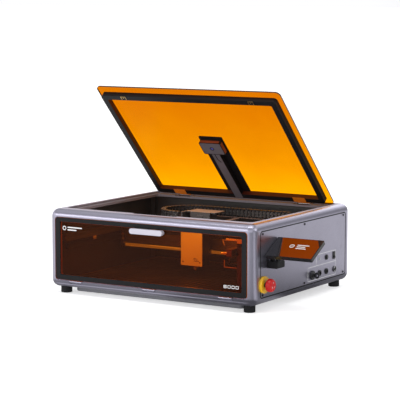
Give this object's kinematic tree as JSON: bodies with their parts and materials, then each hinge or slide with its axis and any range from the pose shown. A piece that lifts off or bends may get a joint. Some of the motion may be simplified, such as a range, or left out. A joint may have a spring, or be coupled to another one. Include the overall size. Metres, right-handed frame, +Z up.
{
  "type": "desktop laser cutter",
  "caption": "Enclosed desktop laser cutter: rounded metal case, tinted hinged lid and drop-down door, X-Y gantry with a laser head, tilting screen and side controls.",
  "frame": {"origin": "centre of the case's footprint, on the floor that the feet stand on", "axes": "+X to the machine's right, -Y to its front (door side), +Z up"},
  "size_m": [0.6881, 0.506, 0.491],
  "materials": {
    "case_metal": "satin grey-lavender powder coat",
    "panel_metal": "satin grey powder coat",
    "pan_metal": "satin grey",
    "foot_rubber": "matt black",
    "screw_steel": "blackened steel",
    "bed_aluminium": "worn slats",
    "liner_black": "dark powder coat",
    "bay_dark": "dark powder coat",
    "circuit_green": "solder mask",
    "rail_aluminium": "dark anodised",
    "rod_steel": "polished",
    "belt_rubber": "toothed belt",
    "motor_black": "black",
    "plastic_black": "fine texture",
    "collar_plastic": "black ABS",
    "led_white": "diffuser",
    "lid_orange": "orange tinted acrylic",
    "door_brown": "dark tinted acrylic",
    "seal_black": "satin black moulding",
    "hinge_steel": "brushed",
    "catch_brass": "plated",
    "arm_grey": "satin dark grey",
    "lens_glass": "coated lens",
    "handle_grey": "light grey satin",
    "chain_plastic": "black nylon",
    "carriage_aluminium": "anodised",
    "module_black": "anodised cover",
    "sink_aluminium": "black anodised",
    "nozzle_brass": "turned",
    "estop_yellow": "gloss",
    "estop_red": "gloss",
    "lock_steel": "plated",
    "jack_black": "black",
    "lamp_lens": "lamp lens",
    "screen_glass": "black glass with an amber display"
  },
  "bodies": {
    "case": {"housing": "case_metal", "side_panel_right": "panel_metal", "side_panel_left": "panel_metal", "rear_panel": "panel_metal", "base_plate": "pan_metal", "bottom_pan": "pan_metal", "rubber_feet": "foot_rubber", "panel_screws": "screw_steel", "slat_bed": "bed_aluminium", "chamber_liner": "liner_black", "electronics_bay": "bay_dark", "control_electronics": "circuit_green", "y_rail_left": "rail_aluminium", "y_rail_right": "rail_aluminium", "y_belts": "belt_rubber", "y_motor": "motor_black", "exhaust_frame": "plastic_black", "exhaust_grille": "liner_black", "exhaust_collar": "collar_plastic", "led_strip": "led_white", "lid_hinge_knuckles": "case_metal", "door_hinge_pins": "screw_steel", "estop_base": "estop_yellow", "key_switch": "lock_steel", "switch_bezels": "jack_black", "indicator_lamp": "lamp_lens", "connector_jacks": "jack_black", "display_bracket": "plastic_black"},
    "lid": {"lid_panel": "lid_orange", "lid_skirt": "seal_black", "lid_hinge_leaves": "hinge_steel", "lid_catch_plates": "catch_brass", "camera_arm": "arm_grey", "camera_head": "arm_grey", "camera_lens": "lens_glass"},
    "door": {"door_panel": "door_brown", "door_handle": "handle_grey", "door_hinge_leaves": "case_metal"},
    "gantry": {"gantry_beam": "rail_aluminium", "x_rail": "rod_steel", "gantry_end_plates": "carriage_aluminium", "x_motor": "motor_black", "x_belt": "belt_rubber", "chain_tray": "carriage_aluminium", "drag_chain": "chain_plastic"},
    "head": {"head_carriage": "carriage_aluminium"},
    "laser": {"module_cover": "module_black", "module_heatsink": "sink_aluminium", "module_nozzle": "nozzle_brass"},
    "head_fan": {"head_fan_rotor": "plastic_black"},
    "exhaust_fan": {"exhaust_rotor": "plastic_black"},
    "drive_shaft": {"y_drive_shaft": "rod_steel"},
    "estop_plunger": {"estop_stem": "jack_black"},
    "estop_button": {"estop_cap": "estop_red"},
    "key": {"switch_key": "lock_steel"},
    "rocker": {"power_rocker": "jack_black"},
    "button": {"push_button": "jack_black"},
    "display": {"display_slab": "screen_glass"}
  },
  "joints": [
    {"name": "lid_hinge", "type": "hinge", "parent": "case", "child": "lid", "pos_m": [0, 0.2055, 0.199], "axis": [-1, 0, 0], "range_deg": [-45.4, 25]},
    {"name": "door_hinge", "type": "hinge", "parent": "case", "child": "door", "pos_m": [0, -0.2335, 0.031], "axis": [1, 0, 0], "range_deg": [0, 90]},
    {"name": "gantry_slide", "type": "slide", "parent": "case", "child": "gantry", "axis": [0, 1, 0], "range_m": [-0.178, 0.045]},
    {"name": "head_slide", "type": "slide", "parent": "gantry", "child": "head", "axis": [1, 0, 0], "range_m": [-0.172, 0.165], "deforming": ["drag_chain"]},
    {"name": "laser_lift", "type": "slide", "parent": "head", "child": "laser", "axis": [0, 0, 1], "range_m": [-0.008, 0.018]},
    {"name": "head_fan_spin", "type": "hinge", "parent": "laser", "child": "head_fan", "pos_m": [-0.0205, 0.005, 0.158], "axis": [0, 0, 1], "continuous": true},
    {"name": "exhaust_fan_spin", "type": "hinge", "parent": "case", "child": "exhaust_fan", "pos_m": [-0.035, 0.22, 0.091], "axis": [0, 1, 0], "continuous": true},
    {"name": "drive_shaft_spin", "type": "hinge", "parent": "case", "child": "drive_shaft", "pos_m": [0, 0.184, 0.108], "axis": [-1, 0, 0], "range_deg": [-1700, 500]},
    {"name": "estop_press", "type": "slide", "parent": "case", "child": "estop_plunger", "axis": [-1, 0, 0], "range_m": [0, 0.004]},
    {"name": "estop_twist", "type": "hinge", "parent": "estop_plunger", "child": "estop_button", "pos_m": [0.3, -0.195, 0.0635], "axis": [1, 0, 0], "range_deg": [0, 45], "stiffness_Nm_per_rad": 0.05},
    {"name": "key_turn", "type": "hinge", "parent": "case", "child": "key", "pos_m": [0.29, 0.039, 0.0526], "axis": [1, 0, 0], "range_deg": [0, 90]},
    {"name": "rocker_switch", "type": "hinge", "parent": "case", "child": "rocker", "pos_m": [0.2826, 0.1495, 0.0865], "axis": [0, 1, 0], "range_deg": [0, 14]},
    {"name": "button_press", "type": "slide", "parent": "case", "child": "button", "axis": [-1, 0, 0], "range_m": [0, 0.002], "stiffness_N_per_m": 700},
    {"name": "display_tilt", "type": "hinge", "parent": "case", "child": "display", "pos_m": [0.29, -0.165, 0.124], "axis": [1, 0, 0], "range_deg": [-29, 20]}
  ],
  "couplings": [
    {"joint": "drive_shaft_spin", "follows": "gantry_slide", "rad_per_m": 156.99}
  ]
}
